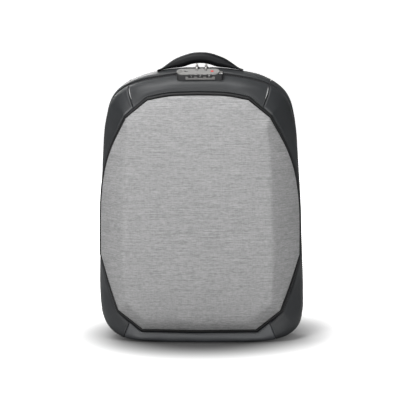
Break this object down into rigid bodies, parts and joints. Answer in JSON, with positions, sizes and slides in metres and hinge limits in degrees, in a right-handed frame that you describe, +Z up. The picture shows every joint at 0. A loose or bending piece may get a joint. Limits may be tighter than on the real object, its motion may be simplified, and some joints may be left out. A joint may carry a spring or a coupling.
{
  "type": "anti theft backpack",
  "caption": "Upright backpack with a moulded grey front shell, black cloth sides, a combination lock over the top zip, a padded carry handle and shoulder straps.",
  "frame": {"origin": "middle of the backpack's overall box at the level of its base", "axes": "+Z up along the back, +Y towards the wearer's back, so the moulded shell faces -Y, and +X to the right as seen from the front"},
  "size_m": [0.319, 0.1812, 0.4453],
  "materials": {
    "shell_cloth": "light heather grey cloth over a moulded shell",
    "panel_cloth": "coated charcoal cloth with a soft sheen",
    "trim_cloth": "black cloth binding",
    "zip_plastic": "black moulded coil",
    "padded_mesh": "black air mesh over foam",
    "webbing": "black ribbed webbing",
    "black_plastic": "black moulded plastic",
    "black_metal": "black lacquered zinc",
    "gunmetal": "brushed gunmetal",
    "bright_metal": "satin silver metal",
    "red_inlay": "glossy red inlay"
  },
  "bodies": {
    "bag": {"front_shell": "shell_cloth", "shell_piping": "trim_cloth", "front_top_panel": "panel_cloth", "front_side_panel_right": "panel_cloth", "front_side_panel_left": "panel_cloth", "base_panel": "panel_cloth", "zip_tape": "trim_cloth", "zip_chain": "zip_plastic", "rear_top_panel": "panel_cloth", "rear_side_panel_right": "panel_cloth", "rear_side_panel_left": "panel_cloth", "back_piping": "trim_cloth", "back_panel": "padded_mesh", "back_pad_left": "padded_mesh", "back_pad_right": "padded_mesh", "handle_grip": "trim_cloth", "shoulder_strap_left": "padded_mesh", "strap_adjuster_left": "black_plastic", "adjuster_loop_left": "webbing", "webbing_left": "webbing", "anchor_tab_left": "panel_cloth", "shoulder_strap_right": "padded_mesh", "strap_adjuster_right": "black_plastic", "adjuster_loop_right": "webbing", "webbing_right": "webbing", "anchor_tab_right": "panel_cloth", "lock_base": "black_plastic", "lock_plate": "gunmetal", "dial_frame": "bright_metal", "indicator_dot": "red_inlay", "slider_left": "black_metal", "pull_left": "bright_metal", "slider_right": "black_metal", "pull_right": "bright_metal"},
    "dial_1_body": {"dial_1": "black_plastic"},
    "dial_2_body": {"dial_2": "black_plastic"},
    "dial_3_body": {"dial_3": "black_plastic"},
    "button_body": {"release_button": "bright_metal"},
    "key_body": {"key_plug": "bright_metal"}
  },
  "joints": [
    {"name": "dial_1_turn", "type": "hinge", "parent": "bag", "child": "dial_1_body", "pos_m": [-0.01107, -0.05325, 0.4109], "axis": [1, 0, 0], "continuous": true},
    {"name": "dial_2_turn", "type": "hinge", "parent": "bag", "child": "dial_2_body", "pos_m": [0.00273, -0.05325, 0.4109], "axis": [1, 0, 0], "continuous": true},
    {"name": "dial_3_turn", "type": "hinge", "parent": "bag", "child": "dial_3_body", "pos_m": [0.01653, -0.05325, 0.4109], "axis": [1, 0, 0], "continuous": true},
    {"name": "release_slide", "type": "slide", "parent": "bag", "child": "button_body", "axis": [-1, 0, 0], "range_m": [0, 0.003], "stiffness_N_per_m": 150},
    {"name": "key_turn", "type": "hinge", "parent": "bag", "child": "key_body", "pos_m": [-0.02817, -0.04914, 0.41737], "axis": [0, -0.454, 0.891], "range_deg": [0, 90]}
  ]
}
